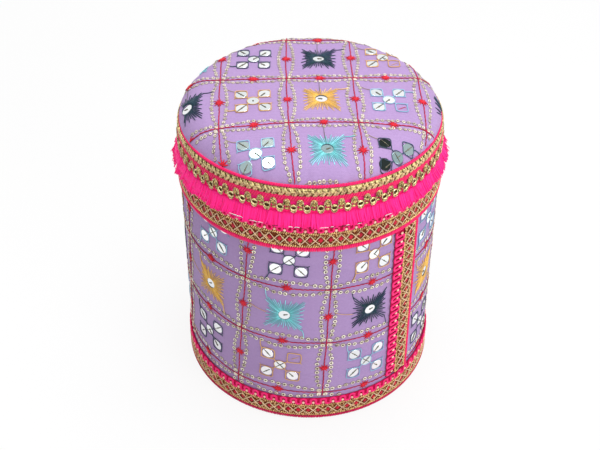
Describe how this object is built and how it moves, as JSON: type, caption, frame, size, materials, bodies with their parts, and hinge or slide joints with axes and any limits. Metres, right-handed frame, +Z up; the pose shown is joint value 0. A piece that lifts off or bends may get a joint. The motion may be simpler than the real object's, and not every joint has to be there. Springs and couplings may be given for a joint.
{
  "type": "round storage box with lid",
  "caption": "Round cloth-covered storage drum with a lift-off crowned padded lid, mirror-work embroidery, gold and pink trim tape and a pink fringe over the joint.",
  "frame": {"origin": "middle of the underside, on the floor", "axes": "+Z up along the drum's axis, the front seen in the picture faces -Y, +X to the right of it"},
  "size_m": [0.3168, 0.3168, 0.3741],
  "materials": {
    "board": "raw fibreboard",
    "lilac_cloth": "embroidered cotton",
    "lining_cloth": "plain woven cotton",
    "bottom_cloth": "black nonwoven",
    "pink_trim": "looped gimp and cord",
    "gold_trim": "metallic thread braid",
    "mixed_trim": "gold lattice tape with pink edges",
    "fringe": "cut fringe",
    "mirror": "small round mirrors",
    "steel": "bright wire",
    "foam": "foam pad"
  },
  "bodies": {
    "drum": {"drum_shell": "board", "base_board": "board", "base_nails": "steel", "bottom_cloth": "bottom_cloth", "bottom_staples": "steel", "body_cover": "lilac_cloth", "top_trim": "mixed_trim", "base_trim": "mixed_trim", "seam_trim": "mixed_trim", "neck_ring": "board", "neck_cover": "lining_cloth", "wall_lining": "lining_cloth", "floor_lining": "lining_cloth", "body_mirrors": "mirror"},
    "lid": {"lid_hoop": "board", "lid_board": "board", "lid_nails": "steel", "lid_foam": "foam", "lid_cover": "lilac_cloth", "lid_edge_cord": "pink_trim", "lid_gold_braid": "gold_trim", "lid_gimp": "pink_trim", "lid_fringe_header": "fringe", "lid_scroll_braid": "gold_trim", "lid_fringe": "fringe", "lid_lining": "lining_cloth", "lid_wall_lining": "lining_cloth", "lid_mirrors": "mirror"}
  },
  "joints": [
    {"name": "lid_lift", "type": "slide", "parent": "drum", "child": "lid", "axis": [0, 0, 1], "range_m": [0, 0.25]}
  ]
}
